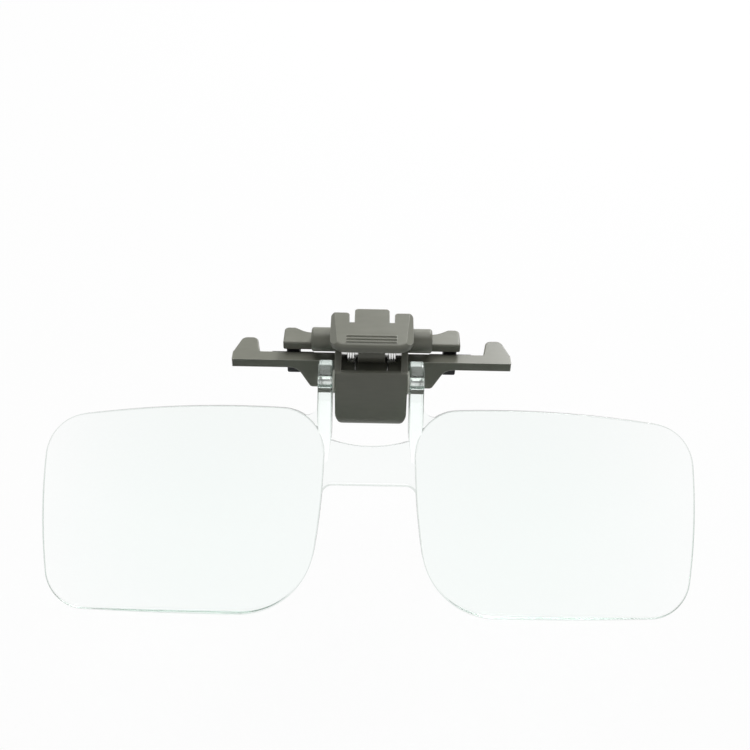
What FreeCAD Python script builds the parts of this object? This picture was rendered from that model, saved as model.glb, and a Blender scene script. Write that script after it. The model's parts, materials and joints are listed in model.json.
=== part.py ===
import FreeCAD, Part
import math
import os

# Clip-on eyeglass loupe, in millimetres.
# X is to the right as seen from the front, Y is back towards the wearer, Z is up.
# The origin is the middle of the crossbar's back face, at its top edge.

# Crossbar
bar_length = 53.2
bar_depth = 2.6
bar_height = 1.9
bar_edge_round = 0.3
gusset_foot_half = 11.7
gusset_root_half = 14.2
gusset_drop = 6.5
gusset_round = 2.6
gusset_foot_round = 0.8
lug_root_width = 5.2
lug_tip_width = 2.9
lug_tip_inset = 1.45
lug_reach = 4.7
lug_thickness = 1.2
lug_tip_round = 1.3
lug_hollow_round = 0.8

# Housing
housing_width = 13.5
housing_depth = 6.8
housing_drop = 10.9
housing_wall = 1.2
housing_front_wall = 0.9
housing_front_rise = 2.4
housing_floor_wall = 1.1
deck_thickness = 0.9
lower_corner_round = 3.4
lower_front_round = 2.4
cavity_round = 2.0
housing_edge_round = 0.35
cheek_boss_radius = 2.2
cheek_front_inset = 0.5
cheek_rear_inset = 0.05
cheek_slant = 45.0

# Clamp lever, its pin and its beam
pin_ahead = 2.0
pin_rise = 3.75
pin_radius = 1.0
knuckle_width = 5.0
knuckle_radius = 2.0
beam_radius = 2.3
beam_length = 22.8
beam_gap = 1.2
beam_ahead = 0.5
beam_end_round = 0.5
beam_clearance = 0.3
rib_width = 3.6
rib_fore = 1.8
rib_aft = 1.4
rib_under_angle = 60.0

# Press paddle, measured along its own slope
paddle_width = 15.3
paddle_length = 9.2
paddle_tab_reach = 1.1
paddle_tab_width = 6.5
paddle_slot_width = 0.95
paddle_slot_depth = 2.7
paddle_lip = 1.6
paddle_wall = 1.2
paddle_skirt = 0.9
paddle_corner = 3.0
paddle_edge_round = 0.8
paddle_tab_corner = 0.7
paddle_slope = 6.0
paddle_front_ahead = 6.9
paddle_front_rise = 8.7
bevel_front_inset = 1.5
bevel_rear_inset = 0.6
bevel_angle = 38.0
ridge_count = 3
ridge_length = 9.2
ridge_radius = 0.24
ridge_first = 1.15
ridge_pitch = 0.8

# Rear jaw
jaw_front_ahead = 0.4
jaw_bar_depth = 3.5
jaw_bar_height = 1.8
jaw_bar_gap = 0.8
jaw_flare = 1.5
jaw_flare_width = 2.9
jaw_ramp = 1.5
jaw_corner = 0.9
jaw_hollow_round = 4.0
jaw_edge_round = 0.35
jaw_overhang = 1.8
prong_inset = 11.5
prong_width = 1.6
prong_thickness = 1.4
prong_reach = 6.1
tip_wall = 0.5
tip_edge_round = 0.35
closed_gap = 0.3

# Rubber pads on the crossbar
pad_length = 8.0
pad_thickness = 0.6
pad_edge_margin = 0.2
pad_edge_round = 0.24

# Lens plate, measured in its own plane down from the axle
ear_thickness = 2.7
ear_radius = 4.0
ear_bar_clearance = 0.3
ear_side_gap = 0.4
ear_tip_drop = 15.0
ear_tip_width = 0.9
ear_taper_start = 7.5
ear_taper_skew = 2.0
ear_tip_shift = 0.22
ear_edge_round = 0.45
axle_drop = 1.55
plate_tilt = 37.0
plate_thickness = 2.2
bridge_top = 12.1
bridge_arch = 1.1
bridge_bottom = 19.5
bridge_edge_round = 0.75
bridge_corner = 2.0
web_reach = 2.6
web_drop = 6.4
web_rise = 1.8
web_hollow = 0.6
web_foot = 2.0

# Outline of one lens, as distances from the middle of the plate and down from the axle
lens_inner_top = 8.6
lens_inner_bottom = 12.5
lens_outer_top = 60.1
lens_outer_bottom = 59.7
lens_inner_start = 5.5
lens_outer_start = 7.9
lens_bottom = 43.4
lens_top_bow = 1.65
lens_outer_bow = 1.25
lens_inner_bow = 1.45
lens_inner_top_round = 8.2
lens_outer_top_round = 8.6
lens_outer_bottom_round = 7.4
lens_inner_bottom_round = 14.0
lens_edge_round = 0.3

# Surfaces of one lens: a flat back, and a front sphere about an optical centre nearer the nose
lens_front_radius = 170.0
lens_centre_thickness = 5.0
lens_centre_out = 27.0
lens_centre_down = 26.0

# Lens axle and what rides on it
axle_radius = 1.0
sleeve_radius = 1.45
sleeve_length = 6.0
washer_radius = 2.2
washer_thickness = 0.3
running_clearance = 0.05

# Friction leaf
leaf_thickness = 0.3
leaf_width = 7.0
leaf_reach = 5.2
leaf_drop = 5.0
leaf_bend = 0.9
leaf_rub_gap = 0.05

# Screws of the housing and of the jaw
cover_screw_spacing = 4.4
cover_screw_drop = 6.4
cover_screw_radius = 0.6
cover_screw_length = 5.6
cover_head_radius = 1.1
cover_head_height = 0.8
boss_wall = 0.7
boss_root = 0.2
jaw_screw_inset = 2.4
jaw_screw_radius = 0.45
jaw_screw_length = 3.4
jaw_head_radius = 0.9
jaw_head_height = 0.6
driver_slot_width = 0.26
driver_slot_depth = 0.3
driver_slot_margin = 0.25

# Torsion springs
wire_diameter = 0.5
coil_radius = 1.95
coil_pitch = 0.92
coil_full_turns = 2
coil_side_gap = 0.15
spring_seat_gap = 0.05
spring_leg_angle = 18.0
spring_leg_reach = 3.4
spring_samples_per_arc = 12

# Places that follow from the sizes
bar_front = -bar_depth
housing_front = bar_front - housing_depth
housing_half = housing_width / 2
cavity_front = housing_front + housing_front_wall
cavity_half = housing_half - housing_wall
pin_y = bar_front - pin_ahead
pin_z = pin_rise
deck_top = pin_z - coil_radius - wire_diameter / 2 - spring_seat_gap
deck_under = deck_top - deck_thickness
prong_spacing = bar_length - 2 * prong_inset
jaw_length = prong_spacing + 2 * jaw_overhang
jaw_screw_spacing = beam_length - 2 * jaw_screw_inset
beam_y = -beam_ahead
beam_z = beam_gap + beam_radius
jaw_front = -jaw_front_ahead
jaw_top = jaw_bar_gap + jaw_bar_height
axle_y = bar_front - ear_bar_clearance - ear_radius
axle_z = -axle_drop
ear_inner = housing_half + ear_side_gap
ear_outer = ear_inner + ear_thickness
plate_half = plate_thickness / 2
tip_front = pad_thickness + closed_gap
sides = {"left": -1, "right": 1}

# Working values: how far a cutting block runs past the piece, how close two places count as one,
# how far a joined corner lies inside the round it joins, and the most of a wall that a fillet may take
overshoot = 30.0
margin = 1.0
same = 0.01
inside = 0.93
fillet_share = 0.45


def vec(x, y, z):
    return FreeCAD.Vector(x, y, z)


def box(x0, x1, y0, y1, z0, z1):
    return Part.makeBox(x1 - x0, y1 - y0, z1 - z0, vec(x0, y0, z0))


def rod_x(y, z, radius, x0, x1):
    return Part.makeCylinder(radius, x1 - x0, vec(x0, y, z), vec(1, 0, 0))


def rod_y(x, z, radius, y0, y1):
    return Part.makeCylinder(radius, y1 - y0, vec(x, y0, z), vec(0, 1, 0))


def rod_z(x, y, radius, z0, z1):
    return Part.makeCylinder(radius, z1 - z0, vec(x, y, z0), vec(0, 0, 1))


def prism(points, direction):
    """A straight-sided outline, pushed along a direction."""
    face = Part.Face(Part.makePolygon(points + points[:1]))
    return face.extrude(direction)


def rounded(shape, radius, chosen):
    """Round the edges of a solid that a test on the edge's middle picks."""
    edges = []
    for edge in shape.Edges:
        middle = edge.valueAt((edge.FirstParameter + edge.LastParameter) / 2)
        if chosen(middle):
            edges.append(edge)
    return shape.makeFillet(radius, edges)


def near(a, b):
    return abs(a - b) < same


def fillet(radius, wall):
    """A fillet's radius, limited by the wall that carries it."""
    return min(radius, fillet_share * wall)


def on_circle(x, y, z, radius, angle):
    """Point on a circle about an X axis, at an angle from +Y towards +Z in degrees."""
    turn = math.radians(angle)
    return vec(x, y + radius * math.cos(turn), z + radius * math.sin(turn))


def mirrored(shape):
    return shape.mirror(vec(0, 0, 0), vec(1, 0, 0))


def on_side(shape, side):
    """The right-hand shape itself, or its mirror image for the left."""
    return shape if side > 0 else mirrored(shape)


def one_solid(shape):
    """The single solid of a finished boolean, with its faces merged."""
    return shape.removeSplitter().Solids[0]


def save(name, shape):
    shape.exportStep("parts/" + name + ".step")
    print(name, "solids", len(shape.Solids), "volume %.3f" % shape.Volume)


# Crossbar


def crossbar_lug():
    """Flat finger at the right end, in the plane of the bar's top face."""
    end = bar_length / 2
    root = end - lug_root_width
    sunk = root - lug_hollow_round - margin
    points = [
        vec(sunk, bar_front / 2, -lug_thickness),
        vec(end, bar_front / 2, -lug_thickness),
        vec(end, 0, -lug_thickness),
        vec(end - lug_tip_inset, lug_reach, -lug_thickness),
        vec(end - lug_tip_inset - lug_tip_width, lug_reach, -lug_thickness),
        vec(root, 0, -lug_thickness),
        vec(sunk, 0, -lug_thickness),
    ]
    lug = prism(points, vec(0, 0, lug_thickness))
    lug = rounded(lug, lug_hollow_round, lambda m: near(m.x, root) and near(m.z, -lug_thickness / 2))
    tip_round = fillet(lug_tip_round, lug_tip_width)
    lug = rounded(lug, tip_round, lambda m: near(m.y, lug_reach) and near(m.z, -lug_thickness / 2))
    return rounded(lug, bar_edge_round, lambda m: near(m.z, 0) and m.y > 0)


def crossbar_plate():
    """Back plate behind the housing, with the two gussets beside it, as one outline."""
    corner = lower_corner_round
    low = -housing_drop
    points = [
        vec(-gusset_root_half, bar_front, 0),
        vec(-gusset_root_half, bar_front, -bar_height),
        vec(-gusset_foot_half, bar_front, -gusset_drop),
        vec(-housing_half, bar_front, -gusset_drop),
        vec(-housing_half, bar_front, low),
        vec(housing_half, bar_front, low),
        vec(housing_half, bar_front, -gusset_drop),
        vec(gusset_foot_half, bar_front, -gusset_drop),
        vec(gusset_root_half, bar_front, -bar_height),
        vec(gusset_root_half, bar_front, 0),
    ]
    plate = prism(points, vec(0, bar_depth, 0))
    middle = bar_front / 2
    plate = rounded(plate, corner, lambda m: near(m.z, low) and near(m.y, middle))
    foot = gusset_foot_half
    return rounded(plate, gusset_foot_round, lambda m: near(abs(m.x), foot) and near(m.y, middle))


def make_crossbar():
    half = bar_length / 2
    middle = bar_front / 2
    bar = box(-half, half, bar_front, 0, -bar_height, 0)
    body = bar.fuse(crossbar_plate()).removeSplitter()
    body = rounded(
        body,
        gusset_round,
        lambda m: near(m.y, middle) and near(m.z, -bar_height) and near(abs(m.x), gusset_root_half),
    )
    body = rounded(body, bar_edge_round, lambda m: near(m.y, bar_front) and abs(m.x) > housing_half)
    lug = crossbar_lug()
    body = body.fuse([lug, mirrored(lug)])
    for x in (-cover_screw_spacing / 2, cover_screw_spacing / 2):
        hole = rod_y(x, -cover_screw_drop, cover_screw_radius + running_clearance, bar_front, 0)
        seat = rod_y(x, -cover_screw_drop, cover_head_radius + running_clearance, -cover_head_height, 0)
        body = body.cut(hole.fuse(seat))
    return one_solid(body)


# Housing


def housing_cheek():
    """Right cheek: a round boss about the clamp pin on a tapered foot, cut in the side wall."""
    inner = cavity_half
    boss = rod_x(pin_y, pin_z, cheek_boss_radius, inner, housing_half)
    shoulder = on_circle(inner, pin_y, pin_z, cheek_boss_radius, -cheek_slant)
    shoulder.y -= cheek_rear_inset
    front = housing_front + cheek_front_inset
    points = [
        vec(inner, front, deck_under),
        vec(inner, front, housing_front_rise),
        on_circle(inner, pin_y, pin_z, cheek_boss_radius, 180 - cheek_slant),
        vec(inner, pin_y, pin_z),
        shoulder,
        vec(inner, shoulder.y, deck_under),
    ]
    foot = prism(points, vec(housing_half - inner, 0, 0))
    return boss.fuse(foot)


def make_front_housing():
    low = -housing_drop
    block = box(-housing_half, housing_half, housing_front, bar_front, low, deck_top)
    wall = box(-housing_half, housing_half, housing_front, cavity_front, deck_under, housing_front_rise)
    cheek = housing_cheek()
    body = block.fuse([wall, cheek, mirrored(cheek)]).removeSplitter()
    middle = (housing_front + bar_front) / 2
    body = rounded(body, lower_corner_round, lambda m: near(m.z, low) and near(m.y, middle))
    body = rounded(body, housing_edge_round, lambda m: near(m.y, housing_front))
    profile = box(-overshoot, overshoot, housing_front, overshoot, low, overshoot)
    body = body.common(
        rounded(profile, lower_front_round, lambda m: near(m.y, housing_front) and near(m.z, low))
    )
    floor = low + housing_floor_wall
    cavity = box(-cavity_half, cavity_half, cavity_front, bar_front, floor, deck_under)
    cavity = rounded(cavity, cavity_round, lambda m: near(m.z, floor) and not near(m.y, bar_front))
    body = body.cut(cavity)
    for x in (-cover_screw_spacing / 2, cover_screw_spacing / 2):
        boss_radius = cover_screw_radius + boss_wall
        boss = rod_y(x, -cover_screw_drop, boss_radius, cavity_front - boss_root, bar_front - leaf_thickness)
        body = body.fuse(boss)
    for x in (-cover_screw_spacing / 2, cover_screw_spacing / 2):
        depth = bar_front - leaf_thickness - cover_screw_length
        body = body.cut(rod_y(x, -cover_screw_drop, cover_screw_radius, depth, bar_front))
    axle_bore = rod_x(axle_y, axle_z, axle_radius + running_clearance, -housing_half, housing_half)
    pin_bore = rod_x(pin_y, pin_z, pin_radius, -housing_half, housing_half)
    return one_solid(body.cut(axle_bore.fuse(pin_bore)))


def make_screw(radius, length, head_radius, head_height):
    """A screw with its head's outer face at the origin and its point towards -Y."""
    head = rod_y(0, 0, head_radius, -head_height, 0)
    shank = rod_y(0, 0, radius, -head_height - length, -head_height)
    screw = head.fuse(shank)
    arm = head_radius - driver_slot_margin
    half = driver_slot_width / 2
    screw = screw.cut(box(-arm, arm, -driver_slot_depth, 0, -half, half))
    screw = screw.cut(box(-half, half, -driver_slot_depth, 0, -arm, arm))
    return one_solid(screw)


def make_cover_screw(side):
    reach = cover_screw_length + bar_depth - cover_head_height + leaf_thickness
    screw = make_screw(cover_screw_radius, reach, cover_head_radius, cover_head_height)
    screw.translate(vec(side * cover_screw_spacing / 2, 0, -cover_screw_drop))
    return screw


def make_friction_spring():
    """L-shaped leaf: clamped against the back plate, its free arm runs under the axle sleeve."""
    top = axle_z - sleeve_radius - leaf_rub_gap
    rear = bar_front
    front = rear - leaf_reach
    low = top - leaf_drop
    half = leaf_width / 2
    points = [
        vec(-half, rear, low),
        vec(-half, rear, top),
        vec(-half, front, top),
        vec(-half, front, top - leaf_thickness),
        vec(-half, rear - leaf_thickness, top - leaf_thickness),
        vec(-half, rear - leaf_thickness, low),
    ]
    leaf = prism(points, vec(leaf_width, 0, 0))
    inner_bend = leaf_bend - leaf_thickness
    leaf = rounded(leaf, leaf_bend, lambda m: near(m.y, rear) and near(m.z, top))
    leaf = rounded(
        leaf, inner_bend, lambda m: near(m.y, rear - leaf_thickness) and near(m.z, top - leaf_thickness)
    )
    for x in (-cover_screw_spacing / 2, cover_screw_spacing / 2):
        hole = rod_y(x, -cover_screw_drop, cover_screw_radius + running_clearance, front, rear)
        leaf = leaf.cut(hole)
    return one_solid(leaf)


def make_front_pad(side):
    centre = side * prong_spacing / 2
    half = pad_length / 2
    low = -bar_height + pad_edge_margin
    pad = box(centre - half, centre + half, 0, pad_thickness, low, -pad_edge_margin)
    return rounded(pad, fillet(pad_edge_round, pad_thickness), lambda m: near(m.y, pad_thickness))


# Torsion springs


def biarc(start, start_way, end, end_way):
    """Two circular arcs that leave and arrive along the given unit directions."""
    gap = end - start
    a = 2 * (start_way.dot(end_way) - 1)
    b = -2 * gap.dot(start_way + end_way)
    c = gap.dot(gap)
    if abs(a) < 1e-9:
        leg = -c / b
    else:
        leg = (-b - math.sqrt(b * b - 4 * a * c)) / (2 * a)
    first_corner = start + start_way * leg
    second_corner = end - end_way * leg
    join = (first_corner + second_corner) * 0.5
    arcs = []
    for p, corner, q in ((start, first_corner, join), (join, second_corner, end)):
        chord_middle = (p + q) * 0.5
        cosine = (q - p).Length / 2 / leg
        middle = chord_middle + (corner - chord_middle) * (cosine / (1 + cosine))
        arcs.append(Part.Arc(p, middle, q))
    return arcs


def coil_point(angle, first, first_x):
    """Point on the coil at an angle counted from +Y towards +Z, and the wire's direction there."""
    x = first_x + coil_pitch * (angle - first) / (2 * math.pi)
    point = vec(x, pin_y + coil_radius * math.cos(angle), pin_z + coil_radius * math.sin(angle))
    way = vec(coil_pitch / (2 * math.pi), -coil_radius * math.sin(angle), coil_radius * math.cos(angle))
    return point, way.normalize()


def make_spring():
    """Right spring: a straight leg on the deck, the coil about the pin, a leg under the paddle."""
    first = -math.pi / 2
    last = math.pi / 2 - math.radians(spring_leg_angle) + 2 * math.pi * coil_full_turns
    first_x = knuckle_width / 2 + coil_side_gap + wire_diameter / 2
    pieces = 4 * coil_full_turns + 2
    step = (last - first) / pieces
    leg_end = pin_y - spring_leg_reach
    start, start_way = coil_point(first, first, first_x)
    low_leg = (start.y - leg_end) / start_way.y
    arcs = []
    for i in range(pieces):
        p, p_way = coil_point(first + i * step, first, first_x)
        q, q_way = coil_point(first + (i + 1) * step, first, first_x)
        arcs += biarc(p, p_way, q, q_way)
    end, end_way = coil_point(last, first, first_x)
    high_leg = (end.y - leg_end) / -end_way.y
    edges = [Part.LineSegment(start - start_way * low_leg, start).toShape()]
    edges += [arc.toShape() for arc in arcs]
    edges.append(Part.LineSegment(end, end + end_way * high_leg).toShape())
    path = Part.Wire(edges)
    circle = Part.Circle(start - start_way * low_leg, start_way, wire_diameter / 2)
    shell = Part.BRepOffsetAPI.MakePipeShell(path)
    shell.add(Part.Wire([circle.toShape()]))
    shell.build()
    shell.makeSolid()
    report_spring(arcs, path)
    return shell.shape()


def report_spring(arcs, path):
    """Print the least gap between turns of the wire, measured on points, and its least radius."""
    points = []
    for arc in arcs:
        for k in range(spring_samples_per_arc):
            share = k / spring_samples_per_arc
            points.append(arc.value(arc.FirstParameter + share * (arc.LastParameter - arc.FirstParameter)))
    run = [0.0]
    for p, q in zip(points, points[1:]):
        run.append(run[-1] + (q - p).Length)
    apart = math.pi * coil_radius
    least = min(
        (points[i] - points[j]).Length
        for i in range(len(points))
        for j in range(i)
        if run[i] - run[j] > apart
    )
    tightest = min(arc.toShape().Curve.Radius for arc in arcs)
    print("spring gap to itself %.3f" % (least - wire_diameter))
    print("spring least radius %.3f, wire length %.2f" % (tightest, path.Length))


# Lever


def paddle_place(shape):
    """Turn a shape from the paddle's own frame to its slope and place.

    In the paddle's frame the front edge of its top is the origin, Y runs back along the top, Z is up from it.
    """
    shape.rotate(vec(0, 0, 0), vec(1, 0, 0), paddle_slope)
    shape.translate(vec(0, bar_front - paddle_front_ahead, paddle_front_rise))
    return shape


def paddle_bevel(side):
    """Wedge that shaves one long edge of the paddle's top, wider at the front."""
    half = paddle_width / 2
    turn = math.degrees(math.atan((bevel_front_inset - bevel_rear_inset) / paddle_length))
    wedge = box(0, overshoot, -overshoot, overshoot, 0, overshoot)
    wedge.rotate(vec(0, 0, 0), vec(0, 1, 0), bevel_angle)
    wedge.rotate(vec(0, 0, 0), vec(0, 0, 1), -turn)
    wedge.translate(vec(half - bevel_front_inset, 0, 0))
    return on_side(wedge, side)


def make_paddle():
    half = paddle_width / 2
    tab_half = paddle_tab_width / 2
    rear = paddle_length + paddle_tab_reach
    top = box(-half, half, 0, paddle_length, -paddle_lip, 0)
    top = rounded(top, paddle_corner, lambda m: near(m.y, 0) and near(m.z, -paddle_lip / 2))
    for side in sides.values():
        top = top.cut(paddle_bevel(side))
    top = rounded(top, paddle_edge_round, lambda m: near(m.z, 0) and near(m.y, 0))
    tail = paddle_length - paddle_tab_corner
    top = rounded(
        top, paddle_tab_corner, lambda m: near(m.y, paddle_length) and near(abs(m.x), half) and m.y > tail
    )
    pocket_half = half - paddle_skirt
    pocket = box(-pocket_half, pocket_half, paddle_skirt, overshoot, -overshoot, -paddle_wall)
    pocket = rounded(
        pocket,
        paddle_corner - paddle_skirt,
        lambda m: near(m.y, paddle_skirt) and near(abs(m.x), pocket_half),
    )
    top = top.cut(pocket)
    tab = box(-tab_half, tab_half, paddle_length - paddle_slot_depth, rear, -paddle_wall, 0)
    tab = rounded(tab, paddle_tab_corner, lambda m: near(m.y, rear) and near(m.z, -paddle_wall / 2))
    for side in sides.values():
        x0 = tab_half if side > 0 else -tab_half - paddle_slot_width
        slot = box(x0, x0 + paddle_slot_width, paddle_length - paddle_slot_depth, rear, -overshoot, margin)
        top = top.cut(slot)
    top = rounded(
        top,
        paddle_tab_corner,
        lambda m: near(m.y, paddle_length) and near(abs(m.x), tab_half + paddle_slot_width),
    )
    top = top.fuse(tab)
    for i in range(ridge_count):
        y = ridge_first + i * ridge_pitch
        top = top.fuse(rod_x(y, 0, ridge_radius, -ridge_length / 2, ridge_length / 2))
    return paddle_place(top.removeSplitter())


def beam_seat():
    """The room that the jaw bar takes in the lower rear quarter of the beam."""
    half = beam_length / 2 + margin
    return box(-half, half, jaw_front, overshoot, -overshoot, jaw_top)


def make_beam():
    half = beam_length / 2
    beam = rod_x(beam_y, beam_z, beam_radius, -half, half)
    beam = rounded(beam, beam_end_round, lambda m: near(abs(m.x), half))
    free = cheek_boss_radius + beam_clearance
    inner = knuckle_width / 2
    outer = housing_half + beam_clearance
    for side in sides.values():
        x0 = inner if side > 0 else -outer
        beam = beam.cut(rod_x(pin_y, pin_z, free, x0, x0 + outer - inner))
    return beam.cut(beam_seat())


def lever_rib():
    """Web from the knuckle up to the paddle's underside and back to the beam."""
    half = rib_width / 2
    slope = math.radians(paddle_slope)
    front_y = bar_front - paddle_front_ahead
    sunk = paddle_wall * inside

    def under(y):
        return paddle_front_rise + (y - front_y) * math.tan(slope) - sunk / math.cos(slope)

    fore = pin_y - rib_fore
    aft = beam_y + rib_aft
    points = [
        vec(-half, fore, under(fore)),
        vec(-half, fore, pin_z),
        on_circle(-half, pin_y, pin_z, knuckle_radius * inside, -rib_under_angle),
        on_circle(-half, beam_y, beam_z, beam_radius * inside, -90),
        vec(-half, aft, beam_z),
        vec(-half, aft, under(aft)),
    ]
    return prism(points, vec(rib_width, 0, 0)).cut(beam_seat())


def make_press_lever():
    half = knuckle_width / 2
    knuckle = rod_x(pin_y, pin_z, knuckle_radius, -half, half)
    body = make_paddle().fuse([make_beam(), lever_rib(), knuckle])
    body = body.cut(rod_x(pin_y, pin_z, pin_radius + running_clearance, -half, half))
    for x in (-jaw_screw_spacing / 2, jaw_screw_spacing / 2):
        y = (jaw_front + beam_y + beam_radius) / 2
        top = jaw_bar_gap + jaw_head_height + jaw_screw_length
        body = body.cut(rod_z(x, y, jaw_screw_radius, jaw_top, top))
    return one_solid(body)


# Rear jaw


def make_rear_jaw():
    half = jaw_length / 2
    rear = jaw_front + jaw_bar_depth
    flare_in = half - jaw_flare_width
    points = [
        vec(-half, jaw_front, jaw_bar_gap),
        vec(half, jaw_front, jaw_bar_gap),
        vec(half, rear + jaw_flare, jaw_bar_gap),
        vec(flare_in + jaw_ramp / 2, rear + jaw_flare, jaw_bar_gap),
        vec(flare_in - jaw_ramp, rear, jaw_bar_gap),
        vec(jaw_ramp - flare_in, rear, jaw_bar_gap),
        vec(-flare_in - jaw_ramp / 2, rear + jaw_flare, jaw_bar_gap),
        vec(-half, rear + jaw_flare, jaw_bar_gap),
    ]
    bar = prism(points, vec(0, 0, jaw_bar_height))
    level = (jaw_bar_gap + jaw_top) / 2
    corner = fillet(jaw_corner, jaw_flare_width)
    bar = rounded(bar, corner, lambda m: near(m.z, level) and near(m.y, rear + jaw_flare))
    hollow = flare_in - jaw_ramp
    bar = rounded(bar, jaw_hollow_round, lambda m: near(m.z, level) and near(abs(m.x), hollow))
    bar = rounded(bar, jaw_edge_round, lambda m: near(m.z, level) and near(m.y, jaw_front))
    bar = rounded(bar, jaw_edge_round, lambda m: near(m.z, jaw_top) or near(m.z, jaw_bar_gap))
    for side in sides.values():
        x = side * prong_spacing / 2
        y0 = tip_front + tip_wall
        low = jaw_bar_gap - prong_reach
        prong = box(x - prong_width / 2, x + prong_width / 2, y0, y0 + prong_thickness, low, level)
        bar = bar.fuse(prong)
    for x in (-jaw_screw_spacing / 2, jaw_screw_spacing / 2):
        y = (jaw_front + beam_y + beam_radius) / 2
        hole = rod_z(x, y, jaw_screw_radius + running_clearance, jaw_bar_gap, jaw_top)
        seat_top = jaw_bar_gap + jaw_head_height
        seat = rod_z(x, y, jaw_head_radius + running_clearance, jaw_bar_gap, seat_top)
        bar = bar.cut(hole.fuse(seat))
    return one_solid(bar)


def make_jaw_screw(side):
    screw = make_screw(jaw_screw_radius, jaw_screw_length, jaw_head_radius, jaw_head_height)
    screw.rotate(vec(0, 0, 0), vec(1, 0, 0), -90)
    y = (jaw_front + beam_y + beam_radius) / 2
    screw.translate(vec(side * jaw_screw_spacing / 2, y, jaw_bar_gap))
    return screw


def make_jaw_tip(side):
    """Rubber sleeve with a closed end, pulled over one prong."""
    x = side * prong_spacing / 2
    half = prong_width / 2
    core_y = tip_front + tip_wall
    low = jaw_bar_gap - prong_reach
    top = jaw_bar_gap
    rear = core_y + prong_thickness + tip_wall
    outer = box(x - half - tip_wall, x + half + tip_wall, tip_front, rear, low - tip_wall, top)
    edge_round = min(tip_edge_round, tip_wall * inside)
    outer = rounded(outer, edge_round, lambda m: near(m.z, (low - tip_wall + top) / 2))
    outer = rounded(outer, edge_round, lambda m: near(m.z, low - tip_wall))
    core = box(x - half, x + half, core_y, core_y + prong_thickness, low, top)
    return one_solid(outer.cut(core))


# Lens plate


def side_edge(p, q, bow):
    """One side of the lens outline: an arc that stands out by its bow, or a line with none."""
    if bow == 0:
        return Part.LineSegment(p, q).toShape()
    chord = q - p
    out = vec(chord.z, 0, -chord.x).normalize()
    return Part.Arc(p, (p + q) * 0.5 + out * bow, q).toShape()


def plate_point(x, drop, front=0.0):
    """A point of the plate as it hangs straight down from the axle."""
    return vec(x, axle_y - front, axle_z - drop)


def make_lens():
    """Right lens: four bowed sides with round corners, a flat back and a spherical front."""
    back = -plate_half
    corners = [
        plate_point(lens_inner_top, lens_inner_start, back),
        plate_point(lens_inner_bottom, lens_bottom, back),
        plate_point(lens_outer_bottom, lens_bottom, back),
        plate_point(lens_outer_top, lens_outer_start, back),
    ]
    bows = [lens_inner_bow, 0, lens_outer_bow, lens_top_bow]
    rounds = [
        lens_inner_top_round,
        lens_inner_bottom_round,
        lens_outer_bottom_round,
        lens_outer_top_round,
    ]
    edges = []
    for i in range(4):
        edges.append(side_edge(corners[i], corners[(i + 1) % 4], bows[i]))
    block = Part.Face(Part.Wire(edges)).extrude(vec(0, -2 * lens_centre_thickness, 0))
    for corner, radius in zip(corners, rounds):
        block = rounded(block, radius, lambda m: near(m.x, corner.x) and near(m.z, corner.z))
    front = back + lens_centre_thickness
    centre = plate_point(lens_centre_out, lens_centre_down, front - lens_front_radius)
    lens = block.common(Part.makeSphere(lens_front_radius, centre))
    return rounded(lens, lens_edge_round, lambda m: m.y > axle_y + plate_half - same or m.y < axle_y)


def make_ear():
    """Right ear: a round eye about the axle that tapers down into a fin on the plate's front."""
    eye = rod_x(axle_y, axle_z, ear_radius, ear_inner, ear_outer)
    tip = ear_tip_drop
    lean = math.atan((ear_radius - plate_half) / tip)
    reach = ear_radius * math.cos(lean)
    high = ear_radius * math.sin(lean)
    points = [
        plate_point(ear_inner, high, reach),
        plate_point(ear_inner, tip, plate_half),
        plate_point(ear_inner, tip, -plate_half),
        plate_point(ear_inner, high, -reach),
    ]
    fin = prism(points, vec(ear_thickness, 0, 0))
    ear = eye.fuse(fin).removeSplitter()
    ear = rounded(ear, ear_edge_round, lambda m: near(m.x, ear_inner) or near(m.x, ear_outer))
    centre = (ear_inner + ear_outer) / 2 - ear_tip_shift
    half = ear_tip_width / 2
    outer_start = ear_taper_start
    inner_start = ear_taper_start + ear_taper_skew
    outline = [
        plate_point(ear_inner - margin, -2 * ear_radius, -overshoot),
        plate_point(ear_inner - margin, inner_start, -overshoot),
        plate_point(ear_inner, inner_start, -overshoot),
        plate_point(centre - half, tip, -overshoot),
        plate_point(centre + half, tip, -overshoot),
        plate_point(ear_outer, outer_start, -overshoot),
        plate_point(ear_outer + margin, outer_start, -overshoot),
        plate_point(ear_outer + margin, -2 * ear_radius, -overshoot),
    ]
    return ear.common(prism(outline, vec(0, -2 * overshoot, 0)))


def lens_inner_at(drop):
    """Distance of a lens's inner side from the middle of the plate, at a distance below the axle."""
    share = (drop - lens_inner_start) / (lens_bottom - lens_inner_start)
    chord = lens_inner_top + share * (lens_inner_bottom - lens_inner_top)
    return chord - 4 * lens_inner_bow * share * (1 - share)


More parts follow.
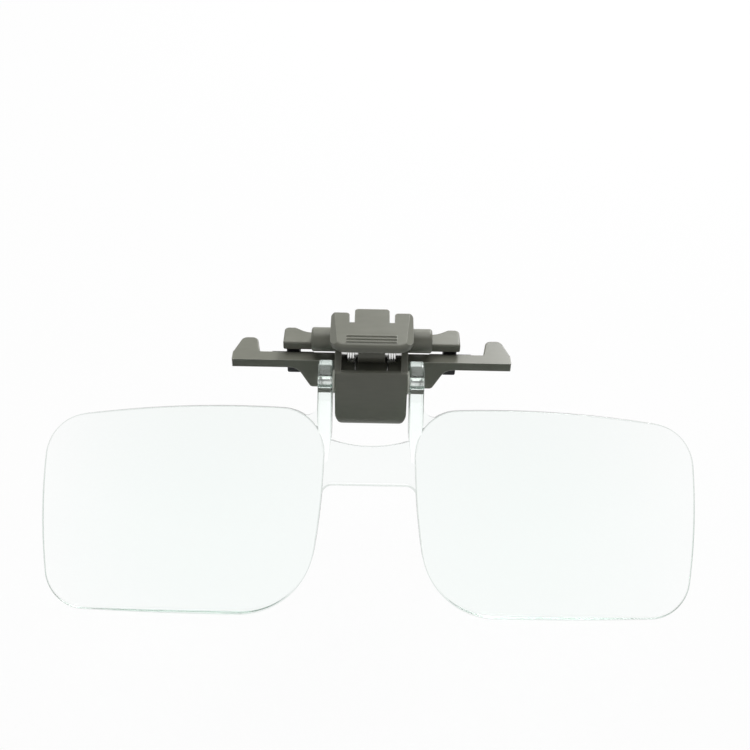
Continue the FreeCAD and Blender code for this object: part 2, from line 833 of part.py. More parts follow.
def make_bridge():
    """Plate between the lenses: a hollow upper edge, a rounded lower edge and round lower corners."""
    back = -plate_half
    high = bridge_top - bridge_arch
    low = bridge_bottom + bridge_corner
    foot = lens_inner_at(low)
    half = foot + bridge_corner
    turn = bridge_corner * (1 - math.sqrt(0.5))

    def straight(p, q):
        return Part.LineSegment(p, q).toShape()

    left = plate_point(-ear_inner, high, back)
    right = plate_point(ear_inner, high, back)
    edges = [Part.Arc(left, plate_point(0, bridge_top, back), right).toShape()]
    edges.append(straight(right, plate_point(half, high, back)))
    edges.append(straight(plate_point(half, high, back), plate_point(half, low, back)))
    edges.append(straight(plate_point(half, low, back), plate_point(foot, low, back)))
    for side in (1, -1):
        arc = [
            plate_point(side * foot, low, back),
            plate_point(side * (foot - turn), bridge_bottom + turn, back),
            plate_point(side * (foot - bridge_corner), bridge_bottom, back),
        ][::side]
        edges.append(Part.Arc(*arc).toShape())
        if side > 0:
            edges.append(straight(arc[2], plate_point(bridge_corner - foot, bridge_bottom, back)))
    edges.append(straight(plate_point(-foot, low, back), plate_point(-half, low, back)))
    edges.append(straight(plate_point(-half, low, back), plate_point(-half, high, back)))
    edges.append(straight(plate_point(-half, high, back), left))
    bridge = Part.Face(Part.Wire(edges)).extrude(vec(0, -plate_thickness, 0))
    level = axle_z - bridge_bottom
    return rounded(bridge, bridge_edge_round, lambda m: near(m.z, level) and near(m.x, 0))


def make_web():
    """Small hollow-edged web between the right ear and the lens's top edge."""
    start = plate_point(ear_outer, web_drop - web_rise, -plate_half)
    end = plate_point(ear_outer + web_reach, web_drop, -plate_half)
    edges = [side_edge(start, end, web_hollow)]
    outline = [
        end,
        plate_point(ear_outer + web_reach, web_drop + web_foot, -plate_half),
        plate_point(ear_outer - ear_thickness / 2, web_drop + web_foot, -plate_half),
        plate_point(ear_outer - ear_thickness / 2, web_drop - web_rise, -plate_half),
        start,
    ]
    for p, q in zip(outline, outline[1:]):
        edges.append(Part.LineSegment(p, q).toShape())
    return Part.Face(Part.Wire(edges)).extrude(vec(0, -plate_thickness, 0))


def make_lens_plate():
    lens = make_lens()
    ear = make_ear()
    web = make_web()
    parts = [lens, ear, web, mirrored(lens), mirrored(ear), mirrored(web)]
    plate = make_bridge().fuse(parts)
    bore = rod_x(axle_y, axle_z, axle_radius, -ear_outer, ear_outer)
    plate = one_solid(plate.cut(bore))
    return tilted(plate)


def tilted(shape):
    """Swing a lens part forward about the axle to the angle at which it is shown."""
    shape.rotate(vec(0, axle_y, axle_z), vec(1, 0, 0), -plate_tilt)
    return shape


def make_axle_washer(side):
    inner = housing_half + (ear_side_gap - washer_thickness) / 2
    outer = rod_x(axle_y, axle_z, washer_radius, inner, inner + washer_thickness)
    hole = rod_x(axle_y, axle_z, axle_radius, inner, inner + washer_thickness)
    return on_side(outer.cut(hole), side)


def make_friction_sleeve():
    half = sleeve_length / 2
    sleeve = rod_x(axle_y, axle_z, sleeve_radius, -half, half)
    return sleeve.cut(rod_x(axle_y, axle_z, axle_radius, -half, half))


os.makedirs("parts", exist_ok=True)
save("crossbar", make_crossbar())
save("front_housing", make_front_housing())
save("clamp_pin", rod_x(pin_y, pin_z, pin_radius, -housing_half, housing_half))
save("friction_spring", make_friction_spring())
save("press_lever", make_press_lever())
save("rear_jaw", make_rear_jaw())
save("lens_plate", make_lens_plate())
save("lens_axle", rod_x(axle_y, axle_z, axle_radius, -ear_outer, ear_outer))
save("friction_sleeve", make_friction_sleeve())
spring = make_spring()
for side_name, side_sign in sides.items():
    save("spring_" + side_name, on_side(spring, side_sign))
    save("cover_screw_" + side_name, make_cover_screw(side_sign))
    save("front_pad_" + side_name, make_front_pad(side_sign))
    save("jaw_screw_" + side_name, make_jaw_screw(side_sign))
    save("jaw_tip_" + side_name, make_jaw_tip(side_sign))
    save("axle_washer_" + side_name, make_axle_washer(side_sign))
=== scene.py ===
import json
import math

import bpy
import numpy as np
from mathutils import Matrix, Vector


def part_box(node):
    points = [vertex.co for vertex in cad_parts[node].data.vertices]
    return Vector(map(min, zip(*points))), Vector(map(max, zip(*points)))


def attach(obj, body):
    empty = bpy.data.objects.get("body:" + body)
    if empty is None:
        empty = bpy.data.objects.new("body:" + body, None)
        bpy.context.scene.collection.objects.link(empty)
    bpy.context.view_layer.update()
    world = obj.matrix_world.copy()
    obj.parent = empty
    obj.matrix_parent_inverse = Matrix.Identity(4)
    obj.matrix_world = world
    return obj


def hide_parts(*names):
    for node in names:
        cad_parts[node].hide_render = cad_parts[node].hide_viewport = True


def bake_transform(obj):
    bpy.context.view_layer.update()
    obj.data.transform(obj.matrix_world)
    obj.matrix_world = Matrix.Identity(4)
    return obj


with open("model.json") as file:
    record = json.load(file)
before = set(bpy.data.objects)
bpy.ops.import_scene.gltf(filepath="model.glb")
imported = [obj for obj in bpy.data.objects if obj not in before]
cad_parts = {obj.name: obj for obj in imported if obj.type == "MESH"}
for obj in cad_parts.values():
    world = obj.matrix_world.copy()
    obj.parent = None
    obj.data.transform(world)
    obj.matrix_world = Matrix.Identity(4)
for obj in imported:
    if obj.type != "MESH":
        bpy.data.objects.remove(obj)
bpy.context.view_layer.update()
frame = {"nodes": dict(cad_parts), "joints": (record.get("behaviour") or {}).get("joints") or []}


# The camera stands in front of the loupe and above it, only 200 mm away, which foreshortens it strongly.
# It leans a little to one side, and a shift of its frame puts the loupe where the photograph has it.
MM = 0.001
CAMERA_ELEVATION = math.radians(37.0)
CAMERA_ROLL = math.radians(1.08)
CAMERA_DISTANCE = 200 * MM
CAMERA_NEAREST = 5 * MM
LENS_MM = 50.0
SENSOR_MM = 36.0
IMAGE_SIDE = 750
ORIGIN_PIXEL = (371.6, 353.3)

look = Vector((0, math.cos(CAMERA_ELEVATION), -math.sin(CAMERA_ELEVATION)))
right = Matrix.Rotation(CAMERA_ROLL, 3, -look) @ Vector((1, 0, 0))
camera_data = bpy.data.cameras.new("camera")
camera_data.lens = LENS_MM
camera_data.sensor_width = SENSOR_MM
camera_data.shift_x = (IMAGE_SIDE / 2 - ORIGIN_PIXEL[0]) / IMAGE_SIDE
camera_data.shift_y = (ORIGIN_PIXEL[1] - IMAGE_SIDE / 2) / IMAGE_SIDE
camera_data.clip_start = CAMERA_NEAREST
camera = bpy.data.objects.new("camera", camera_data)
turn = Matrix((right, right.cross(look), -look)).transposed()
camera.matrix_world = Matrix.Translation(-CAMERA_DISTANCE * look) @ turn.to_4x4()
bpy.context.scene.collection.objects.link(camera)
bpy.context.scene.camera = camera


# The clip's moulded parts: crossbar, front housing, press lever and rear jaw, all in one warm grey ABS.
# The spark-eroded tool leaves a fine grain in the gloss and faint flow clouds in the colour,
# and handling has polished the corners. Their paler grey is partly wear and partly a painted edge highlight.
CLIP_GREY = (0.205, 0.208, 0.170, 1)
# The pale grey of the corners: partly wear, partly a highlight painted along the edges.
WORN_AND_HIGHLIGHT_GREY = (0.52, 0.52, 0.46, 1)
CLIP_ROUGHNESS = 0.36
CLIP_CLOUDS = 0.13
CLIP_WEAR_AND_HIGHLIGHT = 0.75
CLOUD_SCALE = 240.0
FLOW_SCALE = 1100.0
FLOW_STRETCH = (0.25, 1.0, 1.6)
GRAIN_SCALE = 7000.0
GRAIN_DEPTH = 0.02 * MM
GRAIN_STRENGTH = 0.35
CLOUD_DULLING = 0.10
GRAIN_DULLING = 0.12
WEAR_POLISH = -0.15
CLOUD_RELIEF = 0.8
CORNER_SOFTNESS = 0.10 * MM
CORNER_SAMPLES = 6
WEAR_AND_HIGHLIGHT_REACH = 0.32 * MM
WEAR_AND_HIGHLIGHT_COSINES = (0.985, 0.80)
SOCKET_KINDS = {"Color": "NodeSocketColor"}


def place(tree, kind, inputs=None, **settings):
    """Adds a shader node, sets its own settings, and fills or links its inputs."""
    made = tree.nodes.new("ShaderNode" + kind)
    for name, value in settings.items():
        setattr(made, name, value)
    for socket, value in (inputs or {}).items():
        if isinstance(value, bpy.types.NodeSocket):
            tree.links.new(value, made.inputs[socket])
        else:
            made.inputs[socket].default_value = value
    return made


def number(tree, operation, *values):
    """The result of one piece of arithmetic on the values, which are numbers or sockets."""
    return place(tree, "Math", dict(enumerate(values)), operation=operation).outputs[0]


def ramp(tree, value, start, end, low=0.0, high=1.0):
    """Goes straight from low to high while the value goes from start to end, and is level on both sides."""
    limits = {"From Min": start, "From Max": end, "To Min": low, "To Max": high}
    return place(tree, "MapRange", {"Value": value, **limits}).outputs[0]


def tinted(tree, share, first, second):
    """The first colour, with a share of the second mixed in."""
    return place(tree, "Mix", {0: share, 6: first, 7: second}, data_type="RGBA").outputs[2]


def centred_noise(tree, where, scale, detail):
    """Noise that swings evenly about zero, from about -0.5 to 0.5."""
    noise = place(tree, "TexNoise", {"Vector": where, "Scale": scale, "Detail": detail})
    return number(tree, "SUBTRACT", noise.outputs["Fac"], 0.5)


def stretched(tree, where, scale, turn=(0, 0, 0)):
    """The place, turned and scaled, so that a pattern on it runs long where the scale is small."""
    return place(tree, "Mapping", {"Vector": where, "Rotation": turn, "Scale": scale}).outputs[0]


def start_effect(name, inputs, outputs):
    """Starts a node group whose sockets are numbers, apart from one named Color."""
    tree = bpy.data.node_groups.new(name, "ShaderNodeTree")
    for socket, value in inputs.items():
        kind = SOCKET_KINDS.get(socket, "NodeSocketFloat")
        tree.interface.new_socket(socket, in_out="INPUT", socket_type=kind).default_value = value
    for socket in outputs:
        kind = SOCKET_KINDS.get(socket, "NodeSocketFloat")
        tree.interface.new_socket(socket, in_out="OUTPUT", socket_type=kind)
    source = tree.nodes.new("NodeGroupInput").outputs
    sink = tree.nodes.new("NodeGroupOutput").inputs
    return tree, source, sink


def end_effect(tree, sink, results):
    """Links each result to the group's output of that name."""
    for socket, value in results.items():
        tree.links.new(value, sink[socket])


def use_effect(tree, effect, inputs):
    """Places a node group in a material, with this material's own values."""
    used = tree.nodes.new("ShaderNodeGroup")
    used.node_tree = effect
    for socket, value in inputs.items():
        used.inputs[socket].default_value = value
    return used.outputs


def start_material(name):
    """Starts a material with nothing in it but its output."""
    material = bpy.data.materials.new(name)
    material.use_nodes = True
    tree = material.node_tree
    tree.nodes.clear()
    return material, tree, tree.nodes.new("ShaderNodeOutputMaterial").inputs


def soft_edged_bump(tree, height, distance, strength):
    """Bump over a normal that a bevel has softened at the corners."""
    softened = place(tree, "Bevel", {"Radius": CORNER_SOFTNESS}, samples=CORNER_SAMPLES).outputs[0]
    relief = {"Height": height, "Distance": distance, "Strength": strength, "Normal": softened}
    return place(tree, "Bump", relief).outputs[0]


def dress(material, *names):
    """Gives CAD nodes one material in all their slots."""
    for name in names:
        slots = frame["nodes"][name].data.materials
        for index in range(len(slots)):
            slots[index] = material


def moulded_skin(inputs):
    """Colour, roughness and relief of moulded plastic: clouds, flow marks, grain and paler polished corners.

    A corner is where a wide bevel turns the normal away from the face's own. Its paler colour is partly wear
    and partly a painted highlight.
    """
    tree, source, sink = start_effect("moulded_skin", inputs, ["Color", "Roughness", "Height"])
    where = place(tree, "TexCoord").outputs["Object"]
    clouds = centred_noise(tree, where, CLOUD_SCALE, detail=3.0)
    flow = centred_noise(tree, stretched(tree, where, FLOW_STRETCH), FLOW_SCALE, detail=2.0)
    grain = centred_noise(tree, where, GRAIN_SCALE, detail=2.0)
    drift = number(tree, "ADD", clouds, flow)
    shade = number(tree, "MULTIPLY_ADD", drift, source["Clouds"], 1.0)
    toned = place(tree, "VectorMath", {0: source["Color"], "Scale": shade}, operation="SCALE").outputs[0]
    softened = place(tree, "Bevel", {"Radius": WEAR_AND_HIGHLIGHT_REACH}, samples=CORNER_SAMPLES).outputs[0]
    flat = place(tree, "NewGeometry").outputs["Normal"]
    cosine = place(tree, "VectorMath", {0: softened, 1: flat}, operation="DOT_PRODUCT").outputs["Value"]
    # The corner mask marks both the worn corners and where the painted edge highlight goes.
    wear_and_highlight = number(tree, "MULTIPLY", ramp(tree, cosine, *WEAR_AND_HIGHLIGHT_COSINES), source["Wear and highlight"])
    rough = number(tree, "MULTIPLY_ADD", drift, CLOUD_DULLING, source["Roughness"])
    rough = number(tree, "MULTIPLY_ADD", grain, GRAIN_DULLING, rough)
    rough = number(tree, "MULTIPLY_ADD", wear_and_highlight, WEAR_POLISH, rough)
    relief = number(tree, "MULTIPLY_ADD", clouds, CLOUD_RELIEF, grain)
    # Corners are painted paler: partly wear, partly a painted edge highlight.
    colour = tinted(tree, wear_and_highlight, toned, WORN_AND_HIGHLIGHT_GREY)
    end_effect(tree, sink, {"Color": colour, "Roughness": rough, "Height": relief})
    return tree


clip_plastic, tree, out = start_material("clip_plastic")
finish = {"Color": CLIP_GREY, "Clouds": CLIP_CLOUDS, "Roughness": CLIP_ROUGHNESS, "Wear and highlight": CLIP_WEAR_AND_HIGHLIGHT}
skin = use_effect(tree, moulded_skin(finish), finish)
shader = place(tree, "BsdfPrincipled", {
    "Base Color": skin["Color"],
    "Roughness": skin["Roughness"],
    "Normal": soft_edged_bump(tree, skin["Height"], GRAIN_DEPTH, GRAIN_STRENGTH),
    "IOR": 1.5,
    "Specular IOR Level": 0.42,
})
tree.links.new(shader.outputs[0], out["Surface"])
dress(clip_plastic, "crossbar", "front_housing", "press_lever", "rear_jaw")


# The screws, the clamp pin and the friction leaf are bright steel from wire and strip.
# Drawing and rolling leave long fine scratches in the metal and a few dull patches.
STEEL = (0.80, 0.80, 0.79, 1)
SCRATCH_SCALE = 14000.0
SCRATCH_STRETCH = (0.06, 1.0, 1.0)
SCRATCH_DEPTH = 0.01 * MM
SCRATCH_STRENGTH = 0.3
PATCH_SCALE = 900.0
PATCH_SHADE = 0.35
PATCH_DULLING = 0.25


def drawn_metal():
    """Colour, roughness and relief of drawn steel: long fine scratches along X and a few dull patches."""
    inputs = {"Color": STEEL, "Roughness": 0.0, "Scratches": 0.0}
    tree, source, sink = start_effect("drawn_metal", inputs, ["Color", "Roughness", "Height"])
    where = place(tree, "TexCoord").outputs["Object"]
    scratches = centred_noise(tree, stretched(tree, where, SCRATCH_STRETCH), SCRATCH_SCALE, detail=2.0)
    patches = centred_noise(tree, where, PATCH_SCALE, detail=3.0)
    shade = number(tree, "MULTIPLY_ADD", patches, PATCH_SHADE, 1.0)
    toned = place(tree, "VectorMath", {0: source["Color"], "Scale": shade}, operation="SCALE").outputs[0]
    rough = number(tree, "MULTIPLY_ADD", patches, PATCH_DULLING, source["Roughness"])
    scored = number(tree, "MULTIPLY", scratches, source["Scratches"])
    rough = number(tree, "ADD", rough, scored)
    end_effect(tree, sink, {"Color": toned, "Roughness": rough, "Height": scored})
    return tree


metal_effect = drawn_metal()


def bright_steel(name, roughness, scratches):
    """Bright drawn steel."""
    material, tree, out = start_material(name)
    drawn = use_effect(tree, metal_effect, {"Color": STEEL, "Roughness": roughness, "Scratches": scratches})
    shader = place(tree, "BsdfPrincipled", {
        "Base Color": drawn["Color"],
        "Roughness": drawn["Roughness"],
        "Normal": soft_edged_bump(tree, drawn["Height"], SCRATCH_DEPTH, SCRATCH_STRENGTH),
        "Metallic": 1.0,
    })
    tree.links.new(shader.outputs[0], out["Surface"])
    return material


strip_steel = bright_steel("strip_steel", roughness=0.30, scratches=0.25)
dress(strip_steel, "clamp_pin", "friction_spring")
dress(strip_steel, "cover_screw_left", "cover_screw_right", "jaw_screw_left", "jaw_screw_right")


# The lens axle is a ground steel pin pressed through both ears. Its ends are chamfered and dimpled.
# It is a hair thinner than its bore, so the clear ears show it behind a thin line of air.
AXLE_AIR = 0.02 * MM
AXLE_SIDES = 64
AXLE_CHAMFER = 0.25 * MM
CHAMFER_FOOT = 0.03 * MM
END_LAND = 0.20 * MM
EDGE_BREAK = 0.02 * MM
DIMPLE_DEPTH = 0.35 * MM
DIMPLE_FLOOR = 0.05 * MM
DIMPLE_LIP = 0.05 * MM
BOWL_DEPTH_SHARE = 0.4
BOWL_RADIUS_SHARE = 0.8


def mesh_piece(name, points, faces, smooth=True):
    """A mesh object at the origin, from arrays of points and faces."""
    mesh = bpy.data.meshes.new(name)
    mesh.from_pydata(points.tolist(), [], faces)
    mesh.validate()
    if smooth:
        mesh.shade_smooth()
    else:
        mesh.shade_flat()
    piece = bpy.data.objects.new(name, mesh)
    bpy.context.scene.collection.objects.link(piece)
    return piece


def closed_tube(name, rings):
    """A closed tube through rings of points: quads from ring to ring, and one face over each end."""
    count, sides = rings.shape[:2]
    ring = np.arange(count - 1)[:, None] * sides
    side = np.arange(sides)[None, :]
    after = (side + 1) % sides
    quads = np.stack([ring + side, ring + after, ring + sides + after, ring + sides + side], axis=-1)
    faces = quads.reshape(-1, 4).tolist()
    faces.append(np.arange(sides)[::-1].tolist())
    faces.append(np.arange((count - 1) * sides, count * sides).tolist())
    return mesh_piece(name, rings.reshape(-1, 3), faces)


def turned_on_x(name, profile, centre, sides):
    """A solid of revolution about an X axis: each profile point is a place along X and a radius."""
    profile = np.array(profile)
    angle = np.arange(sides) * 2 * math.pi / sides
    x = np.repeat(profile[:, :1], sides, axis=1)
    y = centre.y + profile[:, 1:] * np.cos(angle)
    z = centre.z + profile[:, 1:] * np.sin(angle)
    return closed_tube(name, np.stack([x, y, z], axis=-1))


axle_low, axle_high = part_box("lens_axle")
axle_middle = (axle_low + axle_high) / 2
axle_end = axle_high.x
axle_radius = (axle_high.z - axle_low.z) / 2 - AXLE_AIR
face_radius = axle_radius - AXLE_CHAMFER
dimple_radius = face_radius - END_LAND
half_profile = [
    (axle_end - DIMPLE_DEPTH, DIMPLE_FLOOR),
    (axle_end - DIMPLE_DEPTH * BOWL_DEPTH_SHARE, dimple_radius * BOWL_RADIUS_SHARE),
    (axle_end - EDGE_BREAK, dimple_radius),
    (axle_end, dimple_radius + DIMPLE_LIP),
    (axle_end, face_radius - EDGE_BREAK),
    (axle_end - EDGE_BREAK, face_radius),
    (axle_end - AXLE_CHAMFER + EDGE_BREAK, axle_radius - EDGE_BREAK),
    (axle_end - AXLE_CHAMFER - CHAMFER_FOOT, axle_radius),
]
axle_profile = [(-x, radius) for x, radius in half_profile] + half_profile[::-1]
axle = turned_on_x("ground_axle", axle_profile, axle_middle, AXLE_SIDES)
axle.data.materials.append(bright_steel("ground_steel", roughness=0.22, scratches=0.15))
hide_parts("lens_axle")
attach(axle, "lens")


# Two torsion springs of bright music wire sit on the clamp pin, one on each side of the lever's knuckle.
# The inner leg lies on the housing's deck and the outer leg presses up under the paddle, to close the jaw.
# The coil twists between them as the clamp opens; here it is built only in its rest shape.
WIRE_RADIUS = 0.21 * MM
WIRE_SIDES = 16
WIRE_END_SHARE = 0.7
COIL_START = 3.05 * MM
COIL_PITCH = 0.46 * MM
COIL_FULL_TURNS = 3
LEG_ANGLE = math.radians(18)
LEG_REACH = 3.4 * MM
STEPS_PER_TURN = 48
LEG_STEPS = 8

joints = {joint["name"]: joint for joint in frame["joints"]}
pin = Vector(joints["clamp_open"]["pos_m"])
coil_radius = pin.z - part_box("spring_right")[0].z - WIRE_RADIUS


def spring_centreline():
    """Points, directions and outward directions along the right spring's wire.

    The coil is a helix about the pin. Each leg runs straight on from its end, until it reaches LEG_REACH
    in front of the pin.
    """
    first = -math.pi / 2
    last = math.pi / 2 - LEG_ANGLE + 2 * math.pi * COIL_FULL_TURNS
    angle = np.linspace(first, last, int(STEPS_PER_TURN * (last - first) / (2 * math.pi)))
    rise = COIL_PITCH / (2 * math.pi)
    coil = np.stack([
        COIL_START + rise * (angle - first),
        pin.y + coil_radius * np.cos(angle),
        pin.z + coil_radius * np.sin(angle),
    ], axis=1)
    way = np.stack([
        np.full(len(angle), rise),
        -coil_radius * np.sin(angle),
        coil_radius * np.cos(angle),
    ], axis=1)
    way /= np.linalg.norm(way, axis=1)[:, None]
    out = np.stack([np.zeros(len(angle)), np.cos(angle), np.sin(angle)], axis=1)
    leg_end = pin.y - LEG_REACH
    low_length = (coil[0, 1] - leg_end) / way[0, 1]
    high_length = (coil[-1, 1] - leg_end) / -way[-1, 1]
    share = np.linspace(0, 1, LEG_STEPS, endpoint=False)[:, None]
    low_leg = coil[0] - way[0] * low_length * (1 - share)
    high_leg = coil[-1] + way[-1] * high_length * (1 - share[::-1])
    points = np.concatenate([low_leg, coil, high_leg])
    ways = np.concatenate([np.repeat(way[:1], LEG_STEPS, 0), way, np.repeat(way[-1:], LEG_STEPS, 0)])
    outs = np.concatenate([np.repeat(out[:1], LEG_STEPS, 0), out, np.repeat(out[-1:], LEG_STEPS, 0)])
    return points, ways, outs


def wire_piece(name, points, ways, outs):
    """A round wire along a line: circles across it, drawn in to a small chamfer at both cut ends."""
    across = np.cross(ways, outs)[:, None, :]
    angle = (np.arange(WIRE_SIDES) * 2 * math.pi / WIRE_SIDES)[None, :, None]
    circle = outs[:, None, :] * np.cos(angle) + across * np.sin(angle)
    sizes = np.full((len(points), 1, 1), WIRE_RADIUS)
    sizes[[0, -1]] *= WIRE_END_SHARE
    return closed_tube(name, points[:, None, :] + circle * sizes)


music_wire = bright_steel("music_wire", roughness=0.20, scratches=0.20)
line, ways, outs = spring_centreline()
for side_name, side in (("left", -1), ("right", 1)):
    mirror = np.array([side, 1, 1])
    spring = wire_piece("coil_spring_" + side_name, line * mirror, ways * mirror, outs * mirror)
    spring.data.materials.append(music_wire)
    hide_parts("spring_" + side_name)
    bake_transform(spring)


# The jaw tips are black rubber sleeves pulled over the prongs, and thin pads of it back the crossbar.
# The rubber is matt, with a pale bloom in patches and a fine pebbled skin from its mould.
RUBBER = (0.022, 0.022, 0.024, 1)
BLOOM = (0.12, 0.12, 0.12, 1)
BLOOM_SCALE = 700.0
BLOOM_RANGE = (0.0, 0.4)
BLOOM_MOST = 0.35
BLOOM_DULLING = 0.3
RUBBER_ROUGHNESS = 0.58
PEBBLE_SCALE = 9000.0
PEBBLE_DEPTH = 0.01 * MM
PEBBLE_STRENGTH = 0.5

black_rubber, tree, out = start_material("black_rubber")
where = place(tree, "TexCoord").outputs["Object"]
bloom = centred_noise(tree, where, BLOOM_SCALE, detail=4.0)
patches = ramp(tree, bloom, *BLOOM_RANGE, high=BLOOM_MOST)
pebbles = place(tree, "TexVoronoi", {"Vector": where, "Scale": PEBBLE_SCALE}, feature="SMOOTH_F1")
shader = place(tree, "BsdfPrincipled", {
    "Base Color": tinted(tree, patches, RUBBER, BLOOM),
    "Roughness": number(tree, "MULTIPLY_ADD", bloom, BLOOM_DULLING, RUBBER_ROUGHNESS),
    "Normal": soft_edged_bump(tree, pebbles.outputs["Distance"], PEBBLE_DEPTH, PEBBLE_STRENGTH),
    "Specular IOR Level": 0.35,
})
tree.links.new(shader.outputs[0], out["Surface"])
dress(black_rubber, "jaw_tip_left", "jaw_tip_right", "front_pad_left", "front_pad_right")


# The friction sleeve and the two axle washers are turned from natural nylon.
# It is off-white and waxy, with turning rings about the axle and a little grey from wear.
NYLON = (0.78, 0.77, 0.70, 1)
WORN_NYLON = (0.52, 0.50, 0.45, 1)
SOIL_SCALE = 600.0
SOIL_RANGE = (0.05, 0.4)
SOIL_MOST = 0.7
SOIL_DULLING = 0.2
NYLON_ROUGHNESS = 0.38
TURNING_SCALE = 900.0
TURNING_WAVER = 1.5
TURNING_DEPTH = 0.01 * MM
TURNING_STRENGTH = 0.25

nylon, tree, out = start_material("turned_nylon")
where = place(tree, "TexCoord").outputs["Object"]
about_axle = place(tree, "Mapping", {"Vector": where, "Location": tuple(-axle_middle)}).outputs[0]
marks = {"Vector": about_axle, "Scale": TURNING_SCALE, "Distortion": TURNING_WAVER}
turning = place(tree, "TexWave", marks, wave_type="BANDS", bands_direction="X").outputs["Fac"]
soil = ramp(tree, centred_noise(tree, where, SOIL_SCALE, detail=4.0), *SOIL_RANGE, high=SOIL_MOST)
shader = place(tree, "BsdfPrincipled", {
    "Base Color": tinted(tree, soil, NYLON, WORN_NYLON),
    "Roughness": number(tree, "MULTIPLY_ADD", soil, SOIL_DULLING, NYLON_ROUGHNESS),
    "Normal": soft_edged_bump(tree, turning, TURNING_DEPTH, TURNING_STRENGTH),
})
tree.links.new(shader.outputs[0], out["Surface"])
dress(nylon, "friction_sleeve", "axle_washer_left", "axle_washer_right")


# The lens plate is one injection moulding of clear optical acrylic: two lenses, the bridge and both ears.
# Its faces are polished. Its narrow rims keep the satin finish of the mould's parting line, and painted grey
# shade on them draws dark outlines, both a little less on the ears. A long way through the acrylic shows
# faintly green, and wiping leaves the finest haze.
PLATE_TILT = math.radians(37.0)
ACRYLIC_IOR = 1.49
ACRYLIC_TINT = (0.72, 0.91, 0.83, 1)
ACRYLIC_DENSITY = 42.0
SHADOW_TINT = (0.94, 0.96, 0.95, 1)
HAZE_SCALE = 1500.0
HAZE_TURN = (0.4, 0.2, 0.7)
HAZE_STRETCH = (0.15, 1.0, 1.0)
HAZE_RANGE = (0.0, 0.4)
HAZE_MOST = 0.03
RIPPLE_SCALE = 160.0
RIPPLE_DEPTH = 0.004 * MM
RIPPLE_STRENGTH = 0.3
# Painted shade: a grey tint on the rims that draws the lenses' dark outlines.
RIM_SHADE_GREY = (0.64, 0.68, 0.65, 1)
RIM_ROUGHNESS = 0.22
RIM_FACING = (0.955, 0.86)
EAR_RIM_SHARE = 0.9
EARS_END_OUT = (10.2 * MM, 10.6 * MM)
EARS_END_DOWN = (-11.5 * MM, -12.5 * MM)

acrylic, tree, out = start_material("clear_acrylic")
where = place(tree, "TexCoord").outputs["Object"]
haze = centred_noise(tree, stretched(tree, where, HAZE_STRETCH, HAZE_TURN), HAZE_SCALE, detail=4.0)
polish = ramp(tree, haze, *HAZE_RANGE, high=HAZE_MOST)
ripple = centred_noise(tree, where, RIPPLE_SCALE, detail=1.0)
normal = place(tree, "TexCoord").outputs["Normal"]
plate_facing = (0, -math.cos(PLATE_TILT), math.sin(PLATE_TILT))
cosine = place(tree, "VectorMath", {0: normal, 1: plate_facing}, operation="DOT_PRODUCT").outputs["Value"]
turned = ramp(tree, number(tree, "ABSOLUTE", cosine), *RIM_FACING)
spot = place(tree, "SeparateXYZ", {0: where}).outputs
beside = ramp(tree, number(tree, "ABSOLUTE", spot["X"]), *EARS_END_OUT)
below = ramp(tree, spot["Z"], *EARS_END_DOWN)
off_ears = number(tree, "MAXIMUM", beside, below)
satin_and_shade_rim = number(tree, "MULTIPLY", turned, number(tree, "MAXIMUM", off_ears, EAR_RIM_SHARE))
relief = {"Height": ripple, "Distance": RIPPLE_DEPTH, "Strength": RIPPLE_STRENGTH}
shader = place(tree, "BsdfPrincipled", {
    # The rims get a painted grey shade for outlines, and the satin roughness below.
    "Base Color": tinted(tree, satin_and_shade_rim, (1, 1, 1, 1), RIM_SHADE_GREY),
    "Roughness": number(tree, "MULTIPLY_ADD", satin_and_shade_rim, RIM_ROUGHNESS, polish),
    "IOR": ACRYLIC_IOR,
    "Transmission Weight": 1.0,
    "Normal": place(tree, "Bump", relief).outputs[0],
})
let_through = place(tree, "BsdfTransparent", {"Color": SHADOW_TINT})
shadow_ray = place(tree, "LightPath").outputs["Is Shadow Ray"]
surface = place(tree, "MixShader", {0: shadow_ray, 1: shader.outputs[0], 2: let_through.outputs[0]})
depth = place(tree, "VolumeAbsorption", {"Color": ACRYLIC_TINT, "Density": ACRYLIC_DENSITY})
tree.links.new(surface.outputs[0], out["Surface"])
tree.links.new(depth.outputs[0], out["Volume"])
dress(acrylic, "lens_plate")


# The studio is a plain floor under a broad overhead softbox, with a smaller softbox behind, to the right,
# and a faint fill that is brighter from above. Camera, mirror and glass rays see the floor and air as white,
# but a dark ceiling round the softboxes gives clear plastic and steel their dark lines.
WHITE = (1, 1, 1, 1)
FLOOR_DROP = 60 * MM
FLOOR_HALF = 2.0
FLOOR_GREY = (0.34, 0.34, 0.34, 1)
PAPER_WHITE = (0.9, 0.9, 0.9, 1)
SEEN_GLOW = 0.90
FILL_HEIGHTS = (-0.2, 0.9)
FILL_LEVELS = (0.08, 0.26)
CEILING_HEIGHTS = (0.42, 0.72)
CEILING_LEVELS = (1.0, 0.30)
TOP_LIGHT = (0.0, 0.12, 0.73)
TOP_SIZE = 0.7
TOP_WATTS = 3.2
BACK_LIGHT = (0.33, 0.80, 0.60)
BACK_SIZE = 0.34
BACK_WATTS = 6.2


def seen_directly(tree):
    """1 for camera rays and for rays that a mirror or clear plastic sends on, otherwise 0."""
    path = place(tree, "LightPath").outputs
    first = number(tree, "MAXIMUM", path["Is Camera Ray"], path["Is Glossy Ray"])
    return number(tree, "MAXIMUM", first, path["Is Transmission Ray"])


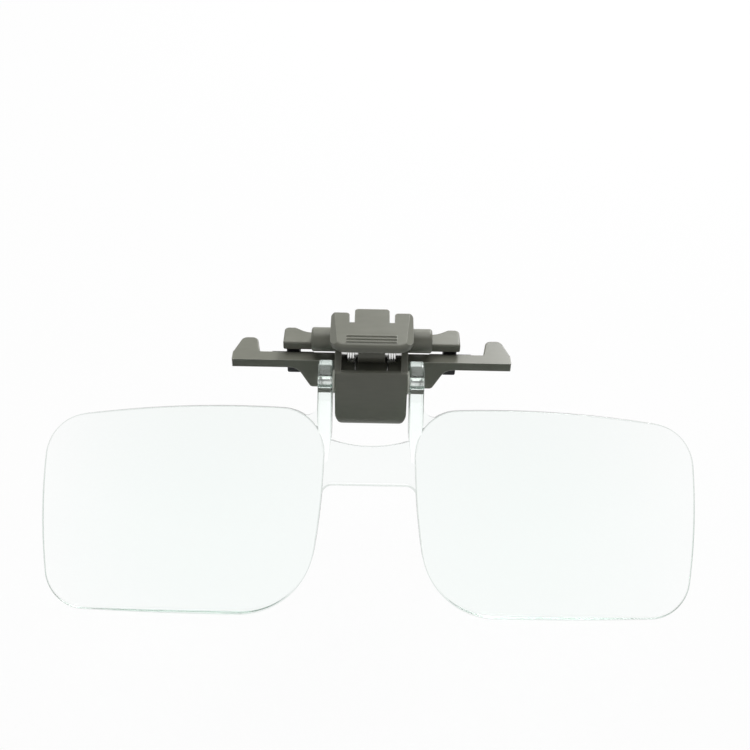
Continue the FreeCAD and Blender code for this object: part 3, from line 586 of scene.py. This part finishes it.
floor_white, tree, out = start_material("floor_white")
plain = place(tree, "BsdfDiffuse", {"Color": FLOOR_GREY})
paper = place(tree, "BsdfDiffuse", {"Color": PAPER_WHITE})
glow = place(tree, "Emission", {"Color": WHITE, "Strength": 1.0})
seen = place(tree, "MixShader", {0: SEEN_GLOW, 1: paper.outputs[0], 2: glow.outputs[0]})
surface = place(tree, "MixShader", {0: seen_directly(tree), 1: plain.outputs[0], 2: seen.outputs[0]})
tree.links.new(surface.outputs[0], out["Surface"])
corners = np.array([(-1, -1), (1, -1), (1, 1), (-1, 1)]) * FLOOR_HALF
floor_points = np.column_stack([corners, np.full(len(corners), -FLOOR_DROP)])
floor = mesh_piece("floor", floor_points, [[0, 1, 2, 3]], smooth=False)
floor.data.materials.append(floor_white)

world = bpy.data.worlds.new("room")
world.use_nodes = True
tree = world.node_tree
tree.nodes.clear()
height = place(tree, "SeparateXYZ", {0: place(tree, "TexCoord").outputs["Generated"]}).outputs["Z"]
fill_level = ramp(tree, height, *FILL_HEIGHTS, *FILL_LEVELS)
fill = place(tree, "Background", {"Color": WHITE, "Strength": fill_level})
camera_ray = place(tree, "LightPath").outputs["Is Camera Ray"]
seen_level = number(tree, "MAXIMUM", ramp(tree, height, *CEILING_HEIGHTS, *CEILING_LEVELS), camera_ray)
seen_air = place(tree, "Background", {"Color": WHITE, "Strength": seen_level})
room = place(tree, "MixShader", {0: seen_directly(tree), 1: fill.outputs[0], 2: seen_air.outputs[0]})
tree.links.new(room.outputs[0], tree.nodes.new("ShaderNodeOutputWorld").inputs["Surface"])
bpy.context.scene.world = world
bpy.context.scene.view_settings.view_transform = "Standard"


def softbox(name, location, side, watts):
    """A square lamp that faces the loupe."""
    lamp = bpy.data.lights.new(name, "AREA")
    lamp.size = side
    lamp.energy = watts
    box = bpy.data.objects.new(name, lamp)
    box.location = location
    box.rotation_euler = (-Vector(location)).to_track_quat("-Z", "Y").to_euler()
    bpy.context.scene.collection.objects.link(box)


softbox("top_softbox", TOP_LIGHT, TOP_SIZE, TOP_WATTS)
softbox("back_softbox", BACK_LIGHT, BACK_SIZE, BACK_WATTS)
